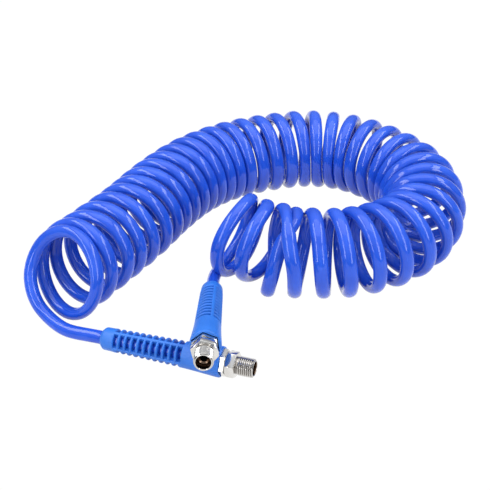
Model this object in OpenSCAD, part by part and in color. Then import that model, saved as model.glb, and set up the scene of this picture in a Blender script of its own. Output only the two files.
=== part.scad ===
// Recoil air hose. A coiled polyurethane hose lies on a surface in an open curve, with a
// slotted bend guard and a male-thread swivel fitting on each of its two short straight ends.
// Millimetres, +Z up. The origin is on the surface, under the middle of the whole part, and
// +X runs along its longer side.

/* [Hose] */
// Outer diameter of the hose
hose_d = 10; // [9:0.5:10]
// Bore of the hose
hose_bore_d = 6.5; // [6:0.5:7]
// Outer diameter of the coil
coil_od = 70; // [66:1:74]

/* [Bend guard] */
// Length of a bend guard
guard_len = 92; // [88:1:98]
// Outer diameter at the end that the hose leaves
guard_hose_end_d = 16.5; // [15:0.5:17]
// Outer diameter where the slots begin
guard_slot_start_d = 17.3; // [17:0.1:18.5]
// Outer diameter where the slots end
guard_slot_end_d = 19.3; // [19:0.1:20.5]
// Outer diameter at the mouth that holds the fitting
guard_mouth_d = 22; // [21.6:0.1:24]
// Plain length before the slots begin
guard_plain_len = 11; // [10:0.5:11]
// Slots in each of two neighbouring columns; the other two have one fewer
slots_per_column = 11; // [6:1:11]
// Distance from one slot to the next in a column
slot_pitch = 4.95; // [4:0.05:5]
// Width of a slot along the guard
slot_w = 3.2; // [2:0.1:3.4]
// Angle that a slot covers around the guard
slot_arc = 75; // [60:1:78]

/* [Fitting] */
// Distance across the flats of both hexagons
hex_af = 17; // [16.4:0.1:17]
// Length of the hexagon that is fixed to the hose
stem_hex_len = 8.6; // [8:0.1:9]
// Length of the swivel nut's hexagon
nut_hex_len = 7; // [7:0.1:9]
// Length of the swivel nut's thread
thread_len = 12.8; // [12.8:0.1:15]
// Diameter of the journal that the nut turns on
journal_d = 9; // [8.8:0.1:9]
// Air passage through the fitting
stem_bore_d = 5.2; // [4.5:0.1:5.4]
// Distance from the nut's nose back to the journal's tip
tip_depth = 5.6; // [5:0.1:6]

/* [Pipe thread] */
// Largest diameter of the taper pipe thread, 1/4 inch size
thread_d = 13.716; // [13.6:0.001:13.8]
// Threads per inch
threads_per_inch = 18; // [18]
// Ridges cut on the nut
thread_ridges = 9; // [7:1:9]

/* [Hidden] */
$fn = 72;
eps = 0.01;
guard_blue = [0.24, 0.50, 0.90];
hose_blue = [0.15, 0.32, 0.88];
plated = [0.78, 0.78, 0.80];

// Moves everything so that the origin is under the middle of the part's box.
layout_shift = [1.1, 4.5, 0];

// Each end is [middle of the guard's hose end, heading about Z, slope above the surface,
// then the turns about its own axis of the guard, the stem's hexagon and the nut's hexagon].
end_a = [[-111.4, -108.2, 8.3], -19, 1.8, -35, 30, 4];
end_b = [[-34, -60, 16.1], -91, 12.4, -66, 8, 15];

// The middle of the coil on the surface, as [turn, x, y] every few turns.
coil_spine = [
    [1, -144, -68], [3, -127, -40], [6, -100, 4], [9, -79, 45], [12, -54, 82], [15, -21, 109],
    [18, 22, 126], [20, 54, 130], [22, 85, 122], [24, 112, 102], [26, 133, 73], [28, 139, 39],
    [30, 131, 5], [32, 110, -20], [34, 78, -36], [36, 45, -39], [38, 13, -31], [40, -17, -13]
];
coil_first_turn = 0.75;
coil_last_turn = 40.5;

// The hose from each guard to the coil, on and near the surface.
tail_a_points = [
    [-126.5, -102, 6.6], [-139, -96.5, 5.6], [-149, -89, 6], [-157, -81.5, 8], [-163.5, -75, 12],
    [-167.5, -70, 18], [-170, -64, 23.5], [-171, -54, 35], [-166, -49, 46]
];
tail_b_points = [
    [-33.6, -45, 12.8], [-32.5, -31, 8.8], [-29, -17, 5.8], [-25, 0, 5.8], [-16, 10, 12], [-8, 15, 24]
];

// Places along a fitting's axis, measured from the guard's hose end.
ferrule_pocket_z = guard_len - 27;
ferrule_len = 19.2;
hose_end_z = guard_len - 10;
shoulder_z = guard_len - 7.4;
hex_pocket_z = guard_len - 6;
stem_face_z = guard_len + 3.3;
washer_t = 0.45;
nut_z = stem_face_z + washer_t + 0.05;
nose_z = nut_z + nut_hex_len + thread_len;
thread_z = nose_z - thread_len;
stem_tip_z = nose_z - tip_depth;
stem_start_z = guard_len - 25;

// Fits and radii inside the fitting.
guard_bore_r = hose_d / 2 + 0.25;
ferrule_r = 7.5;
ferrule_bore_r = hose_d / 2 + 0.05;
stem_neck_r = 3.4;
nut_bore_r = journal_d / 2 + 0.05;
nut_mouth_r = 4.9;
ring_groove_z = nut_z + 4.4;
ring_t = 1;
o_ring_z = nut_z + 10.1;
o_ring_section_r = 0.53;
o_ring_groove_r = journal_d / 2 - 1.05;
thread_pitch = 25.4 / threads_per_inch;
thread_crest_flat = 0.35;
thread_depth = (thread_pitch - thread_crest_flat) / 2 * sqrt(3);
thread_nose_r = 6.71;
thread_taper = 1 / 32;

function unit(v) = v / norm(v);

// Direction in which an end's fitting points.
function end_dir(end) = [cos(end[2]) * cos(end[1]), cos(end[2]) * sin(end[1]), sin(end[2])];
function on_end_axis(end, z) = end[0] + z * end_dir(end);

// Smooth curve through the coil's middle points, as a function of the turn.
function spine_xy(i) = [coil_spine[i][1], coil_spine[i][2]];
function spine_slope(i) =
    let (a = max(i - 1, 0), b = min(i + 1, len(coil_spine) - 1))
    (spine_xy(b) - spine_xy(a)) / (coil_spine[b][0] - coil_spine[a][0]);
function spine_index(turn) =
    max([for (j = [0 : len(coil_spine) - 2]) turn >= coil_spine[j][0] ? j : 0]);
function spine_at(turn) =
    let (
        i = spine_index(turn),
        span = coil_spine[i + 1][0] - coil_spine[i][0],
        s = (turn - coil_spine[i][0]) / span,
        p = spine_xy(i) * (1 - 3 * s * s + 2 * s * s * s) + spine_xy(i + 1) * (3 * s * s - 2 * s * s * s),
        m = spine_slope(i) * (s - 2 * s * s + s * s * s) + spine_slope(i + 1) * (s * s * s - s * s)
    )
    p + m * span;
function spine_dir(turn) = unit(spine_at(turn + 0.1) - spine_at(turn - 0.1));

// Smooth curve through a list of points, with a number of steps between each two.
function curve(points, steps) =
    let (n = len(points))
    [for (i = [0 : n - 2]) for (j = [0 : steps - (i == n - 2 ? 0 : 1)])
        let (
            s = j / steps,
            a = points[max(i - 1, 0)], b = points[i], c = points[i + 1], d = points[min(i + 2, n - 1)]
        )
        0.5 * (2 * b + (c - a) * s + (2 * a - 5 * b + 4 * c - d) * s * s
            + (3 * b - a - 3 * c + d) * s * s * s)];

// Round tube of one radius along a path; side is a direction that the path never takes.
module swept_tube(path, r, sides, side) {
    n = len(path);
    points = [for (i = [0 : n - 1])
        let (
            along = unit(path[min(i + 1, n - 1)] - path[max(i - 1, 0)]),
            u = unit(cross(side, along)),
            v = cross(along, u)
        )
        for (k = [0 : sides - 1]) path[i] + r * (cos(360 * k / sides) * u + sin(360 * k / sides) * v)];
    walls = [for (i = [0 : n - 2]) for (k = [0 : sides - 1])
        let (a = i * sides + k, b = i * sides + (k + 1) % sides)
        each [[a, a + sides, b], [b, a + sides, b + sides]]];
    first_cap = [for (k = [0 : sides - 1]) k];
    last_cap = [for (k = [sides - 1 : -1 : 0]) (n - 1) * sides + k];
    polyhedron(points, concat(walls, [first_cap, last_cap]));
}

// Puts a piece of a fitting, drawn along +Z from the guard's hose end, at an end of the hose.
module at_end(end) {
    translate(end[0] + layout_shift) rotate([0, 90 - end[2], end[1]]) children();
}

// Hexagonal prism with both rims of its corners turned off.
module hexagon(z0, z1, af, turn) {
    corner_r = af / 2 / cos(30);
    chamfer = 0.5;
    rotate([0, 0, turn]) intersection() {
        translate([0, 0, z0]) cylinder(r = corner_r, h = z1 - z0, $fn = 6);
        rotate_extrude() polygon([
            [0, z0], [corner_r - 2 * chamfer, z0], [corner_r + eps, z0 + chamfer + eps],
            [corner_r + eps, z1 - chamfer - eps], [corner_r - 2 * chamfer, z1], [0, z1]
        ]);
    }
}

module hose_coil() {
    steps = 48;
    path = [for (i = [0 : steps])
        let (c = spine_at(coil_first_turn + (coil_last_turn - coil_first_turn) * i / steps))
        [c[0], c[1], coil_od / 2] + layout_shift];
    color(hose_blue) swept_tube(path, coil_od / 2, 32, [0, 0, 1]);
}

module hose_tail(end, points, side) {
    straight = [for (z = [hose_end_z, hose_end_z / 2]) on_end_axis(end, z)];
    path = concat(straight, curve(concat([on_end_axis(end, 0)], points), 2));
    color(hose_blue) swept_tube([for (p = path) p + layout_shift], hose_d / 2, 12, side);
}

module slot_column(turn, z0, count) {
    for (i = [0 : count - 1])
        rotate([0, 0, turn - slot_arc / 2])
            rotate_extrude(angle = slot_arc) translate([guard_bore_r - 1, z0 + i * slot_pitch])
                square([8, slot_w]);
}

module bend_guard(end) {
    slots_end_z = guard_plain_len + slots_per_column * slot_pitch + 1;
    end_r = guard_hose_end_d / 2;
    color(guard_blue) at_end(end) difference() {
        rotate_extrude() polygon([
            [guard_bore_r, 0], [end_r - 2.2, 0], [end_r - 0.4, 1.8], [end_r, 2.8],
            [end_r + 0.1, guard_plain_len - 3], [guard_slot_start_d / 2, guard_plain_len],
            [guard_slot_end_d / 2, slots_end_z], [guard_mouth_d / 2 - 0.2, guard_len - 6],
            [guard_mouth_d / 2, guard_len - 3], [guard_mouth_d / 2, guard_len - 0.6],
            [guard_mouth_d / 2 - 0.6, guard_len], [guard_bore_r, guard_len]
        ]);
        translate([0, 0, ferrule_pocket_z]) cylinder(r = ferrule_r + 0.1, h = guard_len);
        translate([0, 0, hex_pocket_z]) rotate([0, 0, end[4]])
            cylinder(r = (hex_af + 0.2) / 2 / cos(30), h = guard_len, $fn = 6);
        for (side = [0, 90]) {
            slot_column(end[3] + side, guard_plain_len + slot_pitch / 2, slots_per_column - 1);
            slot_column(end[3] + side + 180, guard_plain_len, slots_per_column);
        }
    }
}

module crimp_ferrule(end) {
    z0 = ferrule_pocket_z + 0.2;
    z1 = z0 + ferrule_len;
    flange_z = hose_end_z + 0.2;
    groove_r = ferrule_r - 0.35;
    groove_points = [for (z = [z1 - 5, z1 - 9, z1 - 13, z1 - 17])
        each [[ferrule_r, z + 1.6], [groove_r, z + 1], [groove_r, z], [ferrule_r, z - 0.6]]];
    color("darkgoldenrod") at_end(end) rotate_extrude() polygon(concat(
        [
            [ferrule_bore_r, z0 + 0.4], [ferrule_bore_r, flange_z],
            [stem_neck_r + 0.15, flange_z], [stem_neck_r + 0.15, z1],
            [ferrule_r - 0.4, z1], [ferrule_r, z1 - 0.4]
        ],
        groove_points,
        [[ferrule_r, z0 + 0.4], [ferrule_r - 0.4, z0], [ferrule_bore_r + 0.4, z0]]
    ));
}

module stem(end) {
    barb_pitch = 3.2;
    barb_r = hose_bore_d / 2 + 0.3;
    root_r = stem_bore_d / 2 + 0.5;
    barbs = [for (i = [0 : 3]) let (z = stem_start_z + 1 + i * barb_pitch)
        each [[root_r, z], [barb_r, z + barb_pitch - 0.8]]];
    journal_r = journal_d / 2;
    groove_r = journal_r - 0.7;
    color(plated) at_end(end) difference() {
        union() {
            hexagon(stem_face_z - stem_hex_len, stem_face_z, hex_af, end[4]);
            rotate_extrude() polygon(concat(
                [[stem_bore_d / 2, stem_start_z], [root_r - 0.1, stem_start_z]],
                barbs,
                [
                    [stem_neck_r, stem_start_z + 1 + 4 * barb_pitch], [stem_neck_r, shoulder_z],
                    [ferrule_r - 0.2, shoulder_z], [ferrule_r - 0.2, stem_face_z - 1],
                    [journal_r, stem_face_z - 1], [journal_r, ring_groove_z], [groove_r, ring_groove_z],
                    [groove_r, ring_groove_z + ring_t + 0.1], [journal_r, ring_groove_z + ring_t + 0.1],
                    [journal_r, o_ring_z - 0.8], [o_ring_groove_r, o_ring_z - 0.8],
                    [o_ring_groove_r, o_ring_z + 0.8], [journal_r, o_ring_z + 0.8],
                    [journal_r, stem_tip_z - 0.4], [journal_r - 0.4, stem_tip_z],
                    [stem_bore_d / 2, stem_tip_z]
                ]
            ));
        }
        translate([0, 0, stem_start_z - 1]) cylinder(d = stem_bore_d, h = nose_z);
        translate([0, 0, stem_tip_z - 0.8]) cylinder(d1 = stem_bore_d, d2 = 7.4, h = 0.8 + eps);
    }
}

module thrust_washer(end) {
    color("white") at_end(end) translate([0, 0, stem_face_z]) difference() {
        cylinder(r = 7.4, h = washer_t);
        translate([0, 0, -1]) cylinder(r = journal_d / 2 + 0.1, h = 3);
    }
}

module o_ring(end) {
    color("dimgray") at_end(end) translate([0, 0, o_ring_z]) rotate_extrude()
        translate([o_ring_groove_r + o_ring_section_r, 0]) circle(r = o_ring_section_r);
}

module retaining_ring(end) {
    inner_r = journal_d / 2 - 0.65;
    color("gainsboro") at_end(end) translate([0, 0, ring_groove_z + 0.05])
        rotate_extrude(angle = 320) translate([inner_r, 0]) square([1.4, ring_t]);
}

module swivel_nut(end) {
    function crest_r(depth) = min(thread_nose_r + depth * thread_taper, thread_d / 2);
    ridges = [for (i = [thread_ridges - 1 : -1 : 0])
        let (
            depth = 0.75 + i * thread_pitch,
            z = nose_z - depth,
            r = crest_r(depth),
            root_half = thread_crest_flat / 2 + thread_depth / sqrt(3)
        )
        each [
            [r - thread_depth, z - root_half + eps], [r, z - thread_crest_flat / 2],
            [r, z + thread_crest_flat / 2], [r - thread_depth, z + root_half - eps]
        ]];
    core_r = thread_nose_r - thread_depth;
    groove_z0 = ring_groove_z - 0.1;
    groove_z1 = ring_groove_z + ring_t + 0.2;
    groove_r = journal_d / 2 + 1;
    color(plated) at_end(end) difference() {
        union() {
            hexagon(nut_z, thread_z, hex_af, end[5]);
            rotate_extrude() polygon(concat(
                [[0, thread_z - 1], [core_r, thread_z - 1]], ridges, [[0, nose_z]]
            ));
        }
        rotate_extrude() polygon([
            [0, nut_z - 1], [nut_bore_r + 0.4, nut_z - 1], [nut_bore_r + 0.4, nut_z],
            [nut_bore_r, nut_z + 0.4], [nut_bore_r, groove_z0], [groove_r, groove_z0],
            [groove_r, groove_z1], [nut_bore_r, groove_z1], [nut_bore_r, stem_tip_z + 0.2],
            [nut_mouth_r, stem_tip_z + 0.6], [nut_mouth_r, nose_z - 0.4],
            [nut_mouth_r + 0.4, nose_z], [nut_mouth_r + 0.4, nose_z + 1], [0, nose_z + 1]
        ]);
    }
}

hose_coil();
hose_tail(end_a, tail_a_points, [0.5, 0.86, 0]);  // hose_tail_a
hose_tail(end_b, tail_b_points, [-0.77, 0.64, 0]);  // hose_tail_b
bend_guard(end_a);  // bend_guard_a
crimp_ferrule(end_a);  // crimp_ferrule_a
stem(end_a);  // stem_a
thrust_washer(end_a);  // thrust_washer_a
o_ring(end_a);  // o_ring_a
retaining_ring(end_a);  // retaining_ring_a
swivel_nut(end_a);  // swivel_nut_a
bend_guard(end_b);  // bend_guard_b
crimp_ferrule(end_b);  // crimp_ferrule_b
stem(end_b);  // stem_b
thrust_washer(end_b);  // thrust_washer_b
o_ring(end_b);  // o_ring_b
retaining_ring(end_b);  // retaining_ring_b
swivel_nut(end_b);  // swivel_nut_b
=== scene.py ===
"""The looks of a recoil air hose: a coiled hose, two slotted bend guards and two swivel fittings."""
import math

import bpy
import numpy as np
from mathutils import Matrix, Vector


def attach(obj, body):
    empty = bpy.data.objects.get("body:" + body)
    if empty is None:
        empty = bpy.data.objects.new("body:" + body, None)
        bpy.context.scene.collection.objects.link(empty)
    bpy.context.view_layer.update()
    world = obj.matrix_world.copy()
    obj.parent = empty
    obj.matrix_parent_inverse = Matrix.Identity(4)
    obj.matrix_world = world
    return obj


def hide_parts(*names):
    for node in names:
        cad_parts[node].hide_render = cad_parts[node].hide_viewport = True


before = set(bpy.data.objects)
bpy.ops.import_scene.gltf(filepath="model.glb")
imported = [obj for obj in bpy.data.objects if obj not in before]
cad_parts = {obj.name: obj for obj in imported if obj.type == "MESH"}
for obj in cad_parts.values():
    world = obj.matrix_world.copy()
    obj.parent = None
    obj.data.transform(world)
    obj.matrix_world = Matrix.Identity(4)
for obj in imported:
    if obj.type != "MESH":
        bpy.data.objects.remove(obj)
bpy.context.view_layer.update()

# ---------------------------------------------------------------- sizes, in metres
HOSE_R = 0.005
COIL_R = 0.0305
STRAND_HALF_RADIAL = 0.0045
STRAND_HALF_AXIAL = 0.0056
HOSE_SIDES = 20
POINTS_PER_TURN = 24
RINGS_PER_TURN = 48
TAIL_STEP = 0.003

GUARD_LEN = 0.092
GUARD_BORE_R = 0.00525
FERRULE_POCKET_Z = 0.065
FERRULE_POCKET_R = 0.0076
HEX_POCKET_Z = 0.086
SLOT_START_Z = 0.011
SLOT_PITCH = 0.00495
SLOT_W = 0.0032
SLOTS_PER_COLUMN = (10, 10, 11, 11)
SLOT_HALF_ARC = math.radians(37.5)
RIB_ROUNDING = 0.0008

HEX_AF = 0.017
HEX_POCKET_AF = HEX_AF + 0.001
NUT_Z = GUARD_LEN + 0.0038
NUT_HEX_LEN = 0.007
THREAD_LEN = 0.0128
THREAD_PITCH = 0.0254 / 18
THREAD_NOSE_R = 0.00671
THREAD_MAX_R = 0.006858
THREAD_DEPTH = 0.00092
NUT_BORE_R = 0.00455
NUT_MOUTH_R = 0.0049
STEM_TIP_DEPTH = 0.0056
HOSE_END_Z = 0.082

# ---------------------------------------------------------------- the hose's route, as in the CAD
LAYOUT_SHIFT = np.array([0.0011, 0.0045, 0])
# Each end: the middle of the guard's hose end, its heading about Z and its slope above the
# surface, then the turns about its own axis of the guard and of both hexagons, in degrees.
END_A = {
    "at": (-0.1114, -0.1082, 0.0083), "heading": -19, "slope": 1.8,
    "roll": -35, "stem_turn": 30, "nut_turn": 4,
}
END_B = {
    "at": (-0.034, -0.060, 0.0161), "heading": -91, "slope": 12.4,
    "roll": -66, "stem_turn": 8, "nut_turn": 15,
}
# The middle of the coil on the surface, as [turn, x, y] every few turns.
COIL_SPINE = np.array([
    [1, -0.144, -0.068], [3, -0.127, -0.040], [6, -0.100, 0.004], [9, -0.079, 0.045],
    [12, -0.054, 0.082], [15, -0.021, 0.109], [18, 0.022, 0.126], [20, 0.054, 0.130],
    [22, 0.085, 0.122], [24, 0.112, 0.102], [26, 0.133, 0.073], [28, 0.139, 0.039],
    [30, 0.131, 0.005], [32, 0.110, -0.020], [34, 0.078, -0.036], [36, 0.045, -0.039],
    [38, 0.013, -0.031], [40, -0.017, -0.013],
])
# The hose from guard A to the coil, and from the coil to guard B.
TAIL_A_POINTS = [
    [-0.1265, -0.102, 0.0066], [-0.139, -0.0965, 0.0056], [-0.149, -0.089, 0.006],
    [-0.157, -0.0815, 0.008], [-0.1635, -0.075, 0.012], [-0.1675, -0.07, 0.018], [-0.17, -0.064, 0.0235],
]
TAIL_B_POINTS = [[-0.029, -0.017, 0.0058], [-0.0325, -0.031, 0.0088], [-0.0336, -0.045, 0.0128]]
COIL_FIRST_TURN = 0.73
COIL_LAST_TURN = 40.45

# How the first turns differ from a plain coil, as [turn, amount]: their tops lean forward along
# the coil and their bottoms back, and their right sides stand forward.
LEAN = np.array([[1, 0.015], [2, 0.0083], [3, 0.0057], [4.5, 0.0026], [7, 0], [41, 0]])
SKEW = np.array([[1, -0.003], [2, -0.0025], [3, 0.003], [5, 0], [41, 0]])

# How the turns at both ends differ further from a plain coil, as [turn, along, right, up]. Of
# the last turns, one rides over its neighbour and they cross twice.
NUDGES = np.array([
    [0.5, 0, 0.0015, 0], [1, 0, 0, -0.001], [1.5, 0, 0, 0], [1.75, 0, -0.002, 0], [2, 0, 0, 0],
    [35.75, 0, 0, 0], [36, 0.001, 0, 0], [36.25, 0.005, 0, 0], [36.5, 0.006, 0, 0],
    [36.75, -0.002, -0.004, 0], [36.87, 0.0015, -0.004, 0.004], [37, 0.007, -0.001, 0.003],
    [37.25, 0.0175, -0.004, 0], [37.4, 0.0125, -0.007, 0], [37.55, 0.006, -0.008, 0],
    [37.75, -0.0055, 0.004, 0], [37.87, -0.0105, 0.004, -0.004], [38, -0.017, 0.001, -0.003],
    [38.25, -0.002, 0.005, 0], [38.4, 0.0045, 0.003, 0], [38.6, 0.006, 0.004, 0],
    [38.75, -0.0025, 0.001, 0], [39, -0.0095, 0, 0], [39.25, 0.0095, 0, 0], [39.5, 0.008, 0, 0],
    [39.75, 0.001, 0, 0], [40, -0.009, 0, 0], [40.25, 0, 0, 0], [40.5, 0.003, 0, 0],
])


def unit(v):
    return v / np.linalg.norm(v, axis=-1, keepdims=True)


# ---------------------------------------------------------------- camera
CAMERA_TARGET = Vector((-0.0079, 0.0285, 0))
CAMERA_DISTANCE = 0.796
CAMERA_ELEVATION = math.radians(34)
camera_data = bpy.data.cameras.new("camera")
camera_data.lens = 69.3
camera_data.sensor_width = 36
camera = bpy.data.objects.new("camera", camera_data)
camera.location = CAMERA_TARGET + CAMERA_DISTANCE * Vector(
    (0, -math.cos(CAMERA_ELEVATION), math.sin(CAMERA_ELEVATION))
)
camera.rotation_euler = (math.pi / 2 - CAMERA_ELEVATION, 0, 0)
bpy.context.scene.collection.objects.link(camera)
bpy.context.scene.camera = camera


# ---------------------------------------------------------------- material helpers
def new_material(name):
    material = bpy.data.materials.new(name)
    material.use_nodes = True
    nodes = material.node_tree.nodes
    nodes.clear()
    shader = nodes.new("ShaderNodeBsdfPrincipled")
    output = nodes.new("ShaderNodeOutputMaterial")
    material.node_tree.links.new(shader.outputs["BSDF"], output.inputs["Surface"])
    return material, nodes, material.node_tree.links, shader


def object_coordinates(nodes, links, scale=(1, 1, 1)):
    coordinates = nodes.new("ShaderNodeTexCoord")
    mapping = nodes.new("ShaderNodeMapping")
    mapping.inputs["Scale"].default_value = scale
    links.new(coordinates.outputs["Object"], mapping.inputs["Vector"])
    return mapping.outputs["Vector"]


def noise(nodes, links, vector, scale, detail=2.0, roughness=0.5):
    node = nodes.new("ShaderNodeTexNoise")
    node.inputs["Scale"].default_value = scale
    node.inputs["Detail"].default_value = detail
    node.inputs["Roughness"].default_value = roughness
    links.new(vector, node.inputs["Vector"])
    return node.outputs["Fac"]


def remap(nodes, links, value, low, high):
    node = nodes.new("ShaderNodeMapRange")
    node.inputs["From Min"].default_value = 0.3
    node.inputs["From Max"].default_value = 0.7
    node.inputs["To Min"].default_value = low
    node.inputs["To Max"].default_value = high
    links.new(value, node.inputs["Value"])
    return node.outputs["Result"]


def colour_mix(nodes, links, factor, dark, light):
    node = nodes.new("ShaderNodeMix")
    node.data_type = "RGBA"
    node.inputs[6].default_value = (*dark, 1)
    node.inputs[7].default_value = (*light, 1)
    links.new(factor, node.inputs["Factor"])
    return node.outputs[2]


def bump(nodes, links, height, shader, strength, distance):
    node = nodes.new("ShaderNodeBump")
    node.inputs["Strength"].default_value = strength
    node.inputs["Distance"].default_value = distance
    links.new(height, node.inputs["Height"])
    links.new(node.outputs["Normal"], shader.inputs["Normal"])


# ---------------------------------------------------------------- materials
def hose_material():
    material, nodes, links, shader = new_material("polyurethane_hose")
    vector = object_coordinates(nodes, links)
    broad = noise(nodes, links, vector, 55, 2)
    fine = noise(nodes, links, vector, 420, 3)
    tint = remap(nodes, links, broad, 0, 1)
    colour = colour_mix(nodes, links, tint, (0.012, 0.072, 0.55), (0.020, 0.097, 0.64))
    links.new(colour, shader.inputs["Base Color"])
    links.new(remap(nodes, links, fine, 0.05, 0.10), shader.inputs["Roughness"])
    bump(nodes, links, noise(nodes, links, vector, 260, 2), shader, 0.15, 0.0004)
    shader.inputs["IOR"].default_value = 1.5
    shader.inputs["Subsurface Weight"].default_value = 0.08
    shader.inputs["Subsurface Radius"].default_value = (0.2, 0.4, 1.0)
    shader.inputs["Subsurface Scale"].default_value = 0.003
    return material


def guard_material():
    material, nodes, links, shader = new_material("moulded_guard")
    vector = object_coordinates(nodes, links)
    tint = remap(nodes, links, noise(nodes, links, vector, 90, 3), 0, 1)
    colour = colour_mix(nodes, links, tint, (0.015, 0.140, 0.57), (0.022, 0.166, 0.64))
    links.new(colour, shader.inputs["Base Color"])
    grain = noise(nodes, links, vector, 2600, 2)
    links.new(remap(nodes, links, grain, 0.38, 0.52), shader.inputs["Roughness"])
    bump(nodes, links, grain, shader, 0.25, 0.00008)
    shader.inputs["IOR"].default_value = 1.5
    return material


def plated_material():
    material, nodes, links, shader = new_material("nickel_plating")
    vector = object_coordinates(nodes, links)
    tint = remap(nodes, links, noise(nodes, links, vector, 160, 3), 0, 1)
    plating = colour_mix(nodes, links, tint, (0.68, 0.66, 0.63), (0.78, 0.77, 0.75))
    # Dark brown in the nut's bore and on the stem's tip deep in the mouth: partly their unplated metal,
    # partly painted shade in that recess.
    bare_and_painted_shade = nodes.new("ShaderNodeMix")
    bare_and_painted_shade.data_type = "RGBA"
    bare_and_painted_shade.inputs[7].default_value = (0.15, 0.10, 0.07, 1)
    unplated_and_painted_shade = nodes.new("ShaderNodeAttribute")
    unplated_and_painted_shade.attribute_name = "unplated_and_painted_shade"
    links.new(unplated_and_painted_shade.outputs["Fac"], bare_and_painted_shade.inputs["Factor"])
    links.new(plating, bare_and_painted_shade.inputs[6])
    # Darker grey down in the thread's roots: painted shade between the ridges.
    thread_root_painted_shade = nodes.new("ShaderNodeMix")
    thread_root_painted_shade.data_type = "RGBA"
    thread_root_painted_shade.inputs[7].default_value = (0.30, 0.28, 0.26, 1)
    root = nodes.new("ShaderNodeAttribute")
    root.attribute_name = "thread_root"
    links.new(root.outputs["Fac"], thread_root_painted_shade.inputs["Factor"])
    links.new(bare_and_painted_shade.outputs[2], thread_root_painted_shade.inputs[6])
    links.new(thread_root_painted_shade.outputs[2], shader.inputs["Base Color"])
    scuffs = noise(nodes, links, vector, 700, 2)
    links.new(remap(nodes, links, scuffs, 0.14, 0.20), shader.inputs["Roughness"])
    bump(nodes, links, scuffs, shader, 0.04, 0.00002)
    shader.inputs["Metallic"].default_value = 1
    return material


def metal_material(name, dark, light, roughness):
    material, nodes, links, shader = new_material(name)
    vector = object_coordinates(nodes, links)
    tint = remap(nodes, links, noise(nodes, links, vector, 220, 3), 0, 1)
    links.new(colour_mix(nodes, links, tint, dark, light), shader.inputs["Base Color"])
    scuffs = noise(nodes, links, vector, 1500, 2)
    links.new(remap(nodes, links, scuffs, roughness, roughness + 0.12), shader.inputs["Roughness"])
    bump(nodes, links, scuffs, shader, 0.15, 0.00003)
    shader.inputs["Metallic"].default_value = 1
    return material


def plastic_material(name, dark, light, roughness):
    material, nodes, links, shader = new_material(name)
    vector = object_coordinates(nodes, links)
    tint = remap(nodes, links, noise(nodes, links, vector, 300, 3), 0, 1)
    links.new(colour_mix(nodes, links, tint, dark, light), shader.inputs["Base Color"])
    grain = noise(nodes, links, vector, 1800, 2)
    links.new(remap(nodes, links, grain, roughness, roughness + 0.1), shader.inputs["Roughness"])
    bump(nodes, links, grain, shader, 0.2, 0.00004)
    return material


HOSE = hose_material()
GUARD = guard_material()
PLATED = plated_material()
BRASS = metal_material("crimped_brass", (0.52, 0.36, 0.16), (0.70, 0.52, 0.27), 0.22)
SPRING_STEEL = metal_material("spring_steel", (0.42, 0.42, 0.43), (0.60, 0.60, 0.61), 0.2)
WASHER = plastic_material("washer_plastic", (0.80, 0.80, 0.77), (0.90, 0.90, 0.88), 0.35)
SEAL = plastic_material("seal_rubber", (0.015, 0.015, 0.015), (0.035, 0.035, 0.035), 0.45)


# ---------------------------------------------------------------- mesh helpers
def add_mesh(name, points, faces, material, body, sharp_degrees=40):
    mesh = bpy.data.meshes.new(name)
    mesh.from_pydata([tuple(p) for p in np.asarray(points, float)], [], faces)
    mesh.validate()
    mesh.update()
    mesh.materials.append(material)
    mesh.polygons.foreach_set("use_smooth", [True] * len(mesh.polygons))
    mesh.set_sharp_from_angle(angle=math.radians(sharp_degrees))
    piece = bpy.data.objects.new(name, mesh)
    bpy.context.scene.collection.objects.link(piece)
    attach(piece, body)
    return piece


def ring_quads(rows, columns):
    """Quads between rows of points that each close on themselves, wound to face outwards."""
    faces = []
    for i in range(rows - 1):
        for j in range(columns):
            k = (j + 1) % columns
            a, b = i * columns, (i + 1) * columns
            faces.append((a + j, a + k, b + k, b + j))
    return faces


def end_matrix(end):
    """Puts a piece drawn along +Z from the guard's hose end where that end of the hose lies."""
    place = Matrix.Translation(Vector(end["at"]) + Vector(LAYOUT_SHIFT))
    heading = Matrix.Rotation(math.radians(end["heading"]), 4, "Z")
    slope = Matrix.Rotation(math.radians(90 - end["slope"]), 4, "Y")
    return place @ heading @ slope


def placed(end, points):
    m = np.array(end_matrix(end))
    return np.asarray(points) @ m[:3, :3].T + m[:3, 3]


def axis_points(end, heights):
    return placed(end, [[0, 0, z] for z in heights])


# ---------------------------------------------------------------- hose
def through(table, turns):
    """Smooth line through a table of [turn, values], read at each turn number."""
    knots, values = table[:, 0], table[:, 1:]
    before = np.maximum(np.arange(len(knots)) - 1, 0)
    after = np.minimum(np.arange(len(knots)) + 1, len(knots) - 1)
    slopes = (values[after] - values[before]) / (knots[after] - knots[before])[:, None]
    i = np.clip(np.searchsorted(knots, turns, side="right") - 1, 0, len(knots) - 2)
    span = (knots[i + 1] - knots[i])[:, None]
    s = (turns - knots[i])[:, None] / span
    value = values[i] * (1 - 3 * s**2 + 2 * s**3) + values[i + 1] * (3 * s**2 - 2 * s**3)
    return value + (slopes[i] * (s - 2 * s**2 + s**3) + slopes[i + 1] * (s**3 - s**2)) * span


def helix(turns):
    """Middle of the hose in the coil, and the coil's direction. Whole turns are at the top."""
    flat = np.zeros((len(turns), 1))
    centre = np.hstack([through(COIL_SPINE, turns), flat])
    rise = through(COIL_SPINE, turns + 0.01) - through(COIL_SPINE, turns - 0.01)
    along = np.hstack([unit(rise), flat])
    right = np.cross(along, [0, 0, 1])
    angle = 2 * math.pi * turns[:, None]
    up, aside = np.cos(angle), np.sin(angle)
    lean, skew = (np.interp(turns, table[:, 0], table[:, 1])[:, None] for table in (LEAN, SKEW))
    nudge = through(NUDGES, turns)
    slide = lean * up + skew * aside + nudge[:, :1]
    place = centre + (COIL_R * aside + nudge[:, 1:2]) * right + slide * along
    return place + (COIL_R * (1 + up) + STRAND_HALF_RADIAL + nudge[:, 2:]) * [0, 0, 1], along


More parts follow.
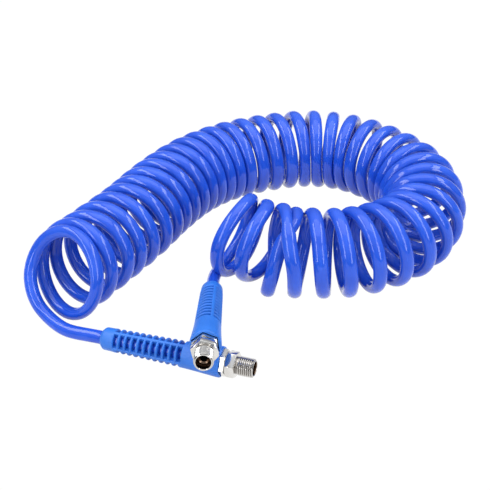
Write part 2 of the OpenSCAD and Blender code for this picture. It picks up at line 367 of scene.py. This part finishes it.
def smooth_curve(points, marks):
    """Natural cubic spline through points, read at marks along its length in point-to-point distance."""
    gaps = np.linalg.norm(np.diff(points, axis=0), axis=1)
    at = np.concatenate([[0], np.cumsum(gaps)])
    n = len(points)
    matrix, right = np.eye(n), np.zeros((n, points.shape[1]))
    for i in range(1, n - 1):
        matrix[i, i - 1:i + 2] = gaps[i - 1], 2 * (gaps[i - 1] + gaps[i]), gaps[i]
        right[i] = 6 * ((points[i + 1] - points[i]) / gaps[i] - (points[i] - points[i - 1]) / gaps[i - 1])
    bend = np.linalg.solve(matrix, right)
    marks = marks(at)
    i = np.clip(np.searchsorted(at, marks, side="right") - 1, 0, n - 2)
    h, a, b = gaps[i][:, None], (at[i + 1] - marks)[:, None], (marks - at[i])[:, None]
    return (
        bend[i] * a**3 / (6 * h) + bend[i + 1] * b**3 / (6 * h)
        + (points[i] / h - bend[i] * h / 6) * a + (points[i + 1] / h - bend[i + 1] * h / 6) * b
    ), marks, at


def hose_route():
    """Middle of the whole hose, with the coil's direction, ovality and half width at each point."""
    heights = np.array([HOSE_END_Z, 0.062, 0.042, 0.022, 0])
    turns = np.arange(COIL_FIRST_TURN, COIL_LAST_TURN, 1 / POINTS_PER_TURN)
    coil, along = helix(turns)
    start = np.vstack([axis_points(END_A, heights), np.array(TAIL_A_POINTS) + LAYOUT_SHIFT])
    finish = np.vstack([np.array(TAIL_B_POINTS) + LAYOUT_SHIFT, axis_points(END_B, heights[::-1])])
    coil = coil + LAYOUT_SHIFT
    points = np.vstack([start, coil, finish])
    direction = np.vstack([
        np.repeat(along[:1], len(start), 0), along, np.repeat(along[-1:], len(finish), 0),
    ])
    ramp = np.clip(np.minimum(turns - turns[0], turns[-1] - turns) / 0.5, 0, 1)
    gap = np.linalg.norm(coil[POINTS_PER_TURN:] - coil[:-POINTS_PER_TURN], axis=1)
    free = np.full(POINTS_PER_TURN, 1.0)
    room = np.minimum(np.concatenate([free, gap]), np.concatenate([gap, free]))
    half = np.minimum(STRAND_HALF_AXIAL, 0.49 * room)
    round_start, round_finish = np.full(len(start), HOSE_R), np.full(len(finish), HOSE_R)
    axial = np.concatenate([round_start, HOSE_R + (half - HOSE_R) * ramp, round_finish])
    oval = np.concatenate([0 * round_start, ramp, 0 * round_finish])
    steps = RINGS_PER_TURN // POINTS_PER_TURN

    def marks(at):
        first, last = at[len(start)], at[len(start) + len(coil) - 1]
        before = np.linspace(0, first, int(first / TAIL_STEP) + 1)[:-1]
        after = np.linspace(last, at[-1], int((at[-1] - last) / TAIL_STEP) + 1)[1:]
        coil_marks = at[len(start):len(start) + len(coil)]
        finer = np.arange((len(coil) - 1) * steps + 1) / steps
        middle = np.interp(finer, np.arange(len(coil)), coil_marks)
        return np.concatenate([before, middle, after])

    route, read, at = smooth_curve(points, marks)
    side = np.stack([np.interp(read, at, direction[:, i]) for i in range(3)], axis=1)
    return route, unit(side), np.interp(read, at, oval), np.interp(read, at, axial)


def build_hose():
    route, side, oval, axial = hose_route()
    tangent = unit(np.gradient(route, axis=0))
    inward = unit(np.cross(side, tangent))
    across = np.cross(tangent, inward)
    radial = HOSE_R + (STRAND_HALF_RADIAL - HOSE_R) * oval
    around = np.linspace(0, 2 * math.pi, HOSE_SIDES, endpoint=False)
    rings = (
        route[:, None, :]
        + (radial[:, None] * np.cos(around))[:, :, None] * inward[:, None, :]
        + (axial[:, None] * np.sin(around))[:, :, None] * across[:, None, :]
    )
    count = len(route)
    faces = ring_quads(count, HOSE_SIDES)
    faces.append(tuple(reversed(range(HOSE_SIDES))))
    faces.append(tuple(range((count - 1) * HOSE_SIDES, count * HOSE_SIDES)))
    hose = add_mesh("hose", rings.reshape(-1, 3), faces, HOSE, "hose", 60)
    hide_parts("hose_coil", "hose_tail_a", "hose_tail_b")
    return hose, route


hose, hose_path = build_hose()


# ---------------------------------------------------------------- bend guards
# The outside of a guard, as [height from the hose end, radius].
GUARD_OUTLINE = np.array([
    [0, 0.00605], [0.0004, 0.0065], [0.0018, 0.0078], [0.0023, 0.0081], [0.0028, 0.00825],
    [0.008, 0.00835], [SLOT_START_Z, 0.00865], [0.0665, 0.00965], [0.075, 0.0101],
    [HEX_POCKET_Z, 0.0108], [0.089, 0.011], [0.0912, 0.011], [0.0917, 0.0108], [GUARD_LEN, 0.0104],
])
# Mesh lines that follow the rounding beside a slot, and their angles from a column's middle.
ROUNDING_LINES = (0.0002, 0.00045, 0.0008)
COLUMN_EDGE_ANGLES = (45, 43.2, 41.6, 40.2, 38.8, 37.5, 36.5, 35, 33)


def slot_gap(theta, z):
    """Distance to the nearest slot, over the guard's surface; 0 inside one."""
    radius = np.interp(z, GUARD_OUTLINE[:, 0], GUARD_OUTLINE[:, 1])
    nearest = np.full(np.broadcast(theta, z).shape, 1.0)
    for column, count in enumerate(SLOTS_PER_COLUMN):
        start = SLOT_START_Z + (SLOT_PITCH / 2 if column < 2 else 0)
        off = np.abs((theta - column * math.pi / 2 + math.pi) % (2 * math.pi) - math.pi)
        beside = np.maximum(off - SLOT_HALF_ARC, 0) * radius
        number = np.clip(np.round((z - start - SLOT_W / 2) / SLOT_PITCH), 0, count - 1)
        middle = start + SLOT_W / 2 + number * SLOT_PITCH
        above = np.maximum(np.abs(z - middle) - SLOT_W / 2, 0)
        nearest = np.minimum(nearest, np.hypot(beside, above))
    return nearest


def guard_lines(hexagon_turn):
    """Heights and angles of the guard's mesh lines, which fall on the edges of slots and pocket."""
    rib_w = SLOT_PITCH - SLOT_W
    rib = np.array([0, *ROUNDING_LINES[:2], rib_w / 2, rib_w - ROUNDING_LINES[1], rib_w - ROUNDING_LINES[0]])
    middle_rib = (SLOT_W - rib_w) / 2
    period = np.concatenate([[0], middle_rib + rib, [middle_rib + rib_w], SLOT_W + rib])
    slotted = [SLOT_START_Z + i * SLOT_PITCH + p for i in range(max(SLOTS_PER_COLUMN)) for p in period]
    slot_end = slotted[-1] + ROUNDING_LINES[0]
    before = [z for z in GUARD_OUTLINE[:, 0] if z < SLOT_START_Z - 1e-6]
    lead = [SLOT_START_Z - r for r in ROUNDING_LINES[::-1]]
    after = sorted([z for z in GUARD_OUTLINE[:, 0] if z > slot_end] + [slot_end, 0.070, 0.079, 0.0858])
    near = list(COLUMN_EDGE_ANGLES)
    quadrant = [-a for a in near] + list(np.arange(-28.5, 30, 4.75)) + near[:0:-1]
    angles = [math.radians(90 * q + a) % (2 * math.pi) for q in range(4) for a in quadrant]
    angles += [(hexagon_turn + i * math.pi / 3) % (2 * math.pi) for i in range(6)]
    return np.array(before + lead + slotted + after), np.unique(np.round(angles, 6))


def guard_inner_radius(theta, z, hexagon_turn):
    from_flat = (theta - hexagon_turn) % (math.pi / 3) - math.pi / 6
    hexagon = HEX_POCKET_AF / 2 / np.cos(from_flat)
    wide = np.where(z > HEX_POCKET_Z - 1e-7, hexagon, FERRULE_POCKET_R)
    return np.where(z > FERRULE_POCKET_Z - 1e-7, wide, GUARD_BORE_R)


def build_guard(suffix, end):
    roll = math.radians(end["roll"])
    hexagon_turn = math.radians(end["stem_turn"]) - roll
    heights, angles = guard_lines(hexagon_turn)
    z, theta = np.meshgrid(heights, angles, indexing="ij")
    edge = np.clip(RIB_ROUNDING - slot_gap(theta, z), 0, RIB_ROUNDING)
    drop = RIB_ROUNDING - np.sqrt(np.maximum(RIB_ROUNDING**2 - edge**2, 0))
    outer_r = np.interp(z, GUARD_OUTLINE[:, 0], GUARD_OUTLINE[:, 1]) - drop
    inner_r = guard_inner_radius(theta, z, hexagon_turn)
    rows, columns = z.shape
    turned = theta + roll
    points = [
        np.stack([r * np.cos(turned), r * np.sin(turned), z], -1).reshape(-1, 3)
        for r in (outer_r, inner_r)
    ]
    mid_z = (heights[1:] + heights[:-1])[:, None] / 2
    next_angles = np.append(angles[1:], angles[0] + 2 * math.pi)
    mid_theta = (angles + next_angles)[None] / 2
    open_cell = slot_gap(mid_theta, mid_z) <= 0
    inner = rows * columns
    faces = []
    for i in range(rows - 1):
        for j in range(columns):
            k = (j + 1) % columns
            a, b, c, d = i * columns + j, i * columns + k, (i + 1) * columns + k, (i + 1) * columns + j
            if not open_cell[i, j]:
                faces.append((a, b, c, d))
                faces.append((inner + d, inner + c, inner + b, inner + a))
                continue
            if i == 0 or not open_cell[i - 1, j]:
                faces.append((b, a, inner + a, inner + b))
            if i == rows - 2 or not open_cell[i + 1, j]:
                faces.append((d, c, inner + c, inner + d))
            if not open_cell[i, j - 1]:
                faces.append((a, d, inner + d, inner + a))
            if not open_cell[i, k]:
                faces.append((c, b, inner + b, inner + c))
    last = (rows - 1) * columns
    for j in range(columns):
        k = (j + 1) % columns
        faces.append((k, j, inner + j, inner + k))
        faces.append((last + j, last + k, inner + last + k, inner + last + j))
    guard = add_mesh("guard_" + suffix, placed(end, np.vstack(points)), faces, GUARD, "hose", 50)
    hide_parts("bend_guard_" + suffix)


# ---------------------------------------------------------------- swivel nuts
def hexagon_radius(theta, flats, rounding):
    """Radius of a hexagon with rounded corners at each angle."""
    off = np.abs((theta + math.pi / 6) % (math.pi / 3) - math.pi / 6)
    plain = flats / 2 / np.cos(off)
    corner = (flats / 2 - rounding) / math.cos(math.pi / 6)
    from_corner = math.pi / 6 - off
    inside = rounding**2 - (corner * np.sin(from_corner)) ** 2
    rounded = corner * np.cos(from_corner) + np.sqrt(np.maximum(inside, 0))
    touch = math.atan2(rounding * math.sin(math.pi / 6), corner + rounding * math.cos(math.pi / 6))
    return np.where(from_corner < touch, rounded, plain)


def nut_angles():
    sector = [-30, -29.4, -28.7, -27.5, -24, -18, -12, -6, 0, 6, 12, 18, 24, 27.5, 28.7, 29.4]
    return np.radians([60 * s + a for s in range(6) for a in sector])


def hexagon_rows(theta, low, high, face_r):
    """Rows of (radius, height) up a hexagon whose corners are turned off at both ends."""
    flats_r = hexagon_radius(theta, HEX_AF, 0.0004)
    fall = np.maximum(flats_r - face_r, 0) * math.tan(math.radians(30))
    inside = np.full_like(theta, face_r)
    return [
        (inside - 0.0003, np.full_like(theta, low)), (inside, np.full_like(theta, low)),
        (flats_r - fall * 0.12, low + fall * 0.9), (flats_r, low + fall * 1.12),
        (flats_r, high - fall * 1.12), (flats_r - fall * 0.12, high - fall * 0.9),
        (inside, np.full_like(theta, high)), (inside - 0.0003, np.full_like(theta, high)),
    ]


def thread_rows(theta, low, nose):
    """Rows of (radius, height) along a right-hand helical taper thread."""
    heights = np.concatenate([np.arange(low, nose - 0.00001, THREAD_PITCH / 14), [nose]])
    rows = []
    for z in heights:
        phase = ((nose - z) / THREAD_PITCH + theta / (2 * math.pi)) % 1
        flank = np.clip((np.abs(phase - 0.5) * 2 - 0.16) / 0.68, 0, 1)
        depth = nose - z
        crest = np.minimum(THREAD_NOSE_R + depth / 32, THREAD_MAX_R)
        run_out = np.clip((z - low) / THREAD_PITCH, 0, 1)
        radius = crest - THREAD_DEPTH * (1 - flank * run_out)
        radius = np.minimum(radius, 0.0057 + depth * 1.2)
        rows.append((radius, np.full_like(theta, z)))
    return rows


def set_values(piece, name, values):
    """Gives a piece's mesh one named value at each point, which its material reads."""
    attribute = piece.data.attributes.new(name, "FLOAT", "POINT")
    attribute.data.foreach_set("value", np.asarray(values, np.float32).ravel())


def build_nut(suffix, end):
    theta = nut_angles()
    thread_z = NUT_Z + NUT_HEX_LEN
    nose = thread_z + THREAD_LEN
    tip = nose - STEM_TIP_DEPTH
    flat = np.ones_like(theta)
    rows = hexagon_rows(theta, NUT_Z, thread_z, 0.0082)
    rows += [(0.0066 * flat, thread_z * flat), (0.0060 * flat, (thread_z + 0.0002) * flat)]
    rows += thread_rows(theta, thread_z + 0.0005, nose)
    bore = [
        (NUT_MOUTH_R + 0.0004, nose), (NUT_MOUTH_R + 0.0001, nose - 0.0003), (NUT_MOUTH_R, nose - 0.0006),
        (NUT_MOUTH_R, tip + 0.0006), (NUT_BORE_R, tip + 0.0002), (NUT_BORE_R, NUT_Z + 0.0004),
        (NUT_BORE_R + 0.0004, NUT_Z),
    ]
    rows += [(r * flat, z * flat) for r, z in bore]
    turned = theta + math.radians(end["nut_turn"]) + math.pi / 6
    points = np.concatenate([np.stack([r * np.cos(turned), r * np.sin(turned), z], -1) for r, z in rows])
    count, columns = len(rows), len(theta)
    faces = ring_quads(count, columns)
    last = (count - 1) * columns
    faces += [(last + j, last + (j + 1) % columns, (j + 1) % columns, j) for j in range(columns)]
    nut = add_mesh("nut_" + suffix, placed(end, points), faces, PLATED, "swivel_" + suffix, 32)
    radii, heights = (np.array([row[i] for row in rows], np.float32) for i in (0, 1))
    # The bore is painted dark brown: unplated metal and painted shade.
    inside = np.zeros((count, columns), np.float32)
    inside[count - len(bore) + 1:] = 1
    # The thread's roots are painted darker as shade between the ridges.
    crest = np.minimum(THREAD_NOSE_R + (nose - heights) / 32, THREAD_MAX_R)
    root = np.clip((crest - radii) / THREAD_DEPTH, 0, 1) * (heights > thread_z) * (1 - inside)
    root[count - len(bore) - 2:] = 0
    set_values(nut, "unplated_and_painted_shade", inside)
    set_values(nut, "thread_root", root)
    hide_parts("swivel_nut_" + suffix)


CARRIED = {
    "crimp_ferrule": BRASS, "stem": PLATED, "thrust_washer": WASHER, "o_ring": SEAL,
    "retaining_ring": SPRING_STEEL,
}
for suffix, end in (("a", END_A), ("b", END_B)):
    build_guard(suffix, end)
    build_nut(suffix, end)
    for node, material in CARRIED.items():
        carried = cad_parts[f"{node}_{suffix}"].data.materials
        carried.clear()
        carried.append(material)
    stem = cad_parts["stem_" + suffix]
    axis = end_matrix(end).inverted() @ stem.matrix_world
    # The stem's tip deep in the nut is painted dark brown too: unplated metal and painted shade.
    deep = [float((axis @ v.co).z > NUT_Z + NUT_HEX_LEN) for v in stem.data.vertices]
    set_values(stem, "unplated_and_painted_shade", deep)


# ---------------------------------------------------------------- floor and light
def build_floor():
    mesh = bpy.data.meshes.new("floor")
    half = 4
    corners = [(-half, -half, 0), (half, -half, 0), (half, half, 0), (-half, half, 0)]
    mesh.from_pydata(corners, [], [(0, 1, 2, 3)])
    floor = bpy.data.objects.new("floor", mesh)
    bpy.context.scene.collection.objects.link(floor)
    material, nodes, links, shader = new_material("white_floor")
    shader.inputs["Base Color"].default_value = (0.8, 0.8, 0.8, 1)
    shader.inputs["Roughness"].default_value = 0.9
    shader.inputs["Specular IOR Level"].default_value = 0
    glow = nodes.new("ShaderNodeEmission")
    glow.inputs["Strength"].default_value = 1.02
    ray = nodes.new("ShaderNodeLightPath")
    seen = nodes.new("ShaderNodeMixShader")
    mirrored = nodes.new("ShaderNodeMath")
    mirrored.operation = "MAXIMUM"
    links.new(ray.outputs["Is Camera Ray"], mirrored.inputs[0])
    links.new(ray.outputs["Is Glossy Ray"], mirrored.inputs[1])
    links.new(mirrored.outputs["Value"], seen.inputs["Fac"])
    links.new(shader.outputs["BSDF"], seen.inputs[1])
    links.new(glow.outputs["Emission"], seen.inputs[2])
    links.new(seen.outputs["Shader"], nodes["Material Output"].inputs["Surface"])
    mesh.materials.append(material)
    floor.location.z = -0.0002


def softbox(name, lateral, forward, distance, width, length, radiance):
    """A strip light over the object, at these tilts from straight above: to +X, and to -Y."""
    a, b = math.radians(lateral), math.radians(forward)
    direction = Vector((math.sin(a), -math.cos(a) * math.sin(b), math.cos(a) * math.cos(b)))
    data = bpy.data.lights.new(name, "AREA")
    data.shape = "RECTANGLE"
    data.size = width
    data.size_y = length
    data.energy = radiance * math.pi * width * length
    light = bpy.data.objects.new(name, data)
    light.location = Vector((0, 0, 0.03)) + distance * direction
    back = direction
    up = Vector((0, -math.cos(b), -math.sin(b)))
    side = up.cross(back).normalized()
    up = back.cross(side)
    light.rotation_euler = Matrix((side, up, back)).transposed().to_euler()
    bpy.context.scene.collection.objects.link(light)


def build_light():
    for name, lateral in (("left", -40), ("right", 38)):
        softbox("overhead_" + name, lateral, -5, 1.5, 0.36, 1.35, 5.0)
        softbox("front_" + name, lateral, 57, 1.5, 0.36, 1.15, 5.0)
    softbox("ceiling", 0, -12, 1.6, 1.5, 1.5, 1.3)
    world = bpy.data.worlds.new("studio")
    world.use_nodes = True
    nodes, links = world.node_tree.nodes, world.node_tree.links
    coordinates = nodes.new("ShaderNodeTexCoord")
    split = nodes.new("ShaderNodeSeparateXYZ")
    ramp = nodes.new("ShaderNodeValToRGB")
    ramp.color_ramp.elements[0].position = 0.0
    ramp.color_ramp.elements[0].color = (0.10, 0.11, 0.13, 1)
    ramp.color_ramp.elements[1].position = 0.7
    ramp.color_ramp.elements[1].color = (0.75, 0.77, 0.80, 1)
    links.new(coordinates.outputs["Generated"], split.inputs["Vector"])
    links.new(split.outputs["Z"], ramp.inputs["Fac"])
    links.new(ramp.outputs["Color"], nodes["Background"].inputs["Color"])
    nodes["Background"].inputs["Strength"].default_value = 1.0
    bpy.context.scene.world = world
    bpy.context.scene.view_settings.view_transform = "Standard"


build_floor()
build_light()
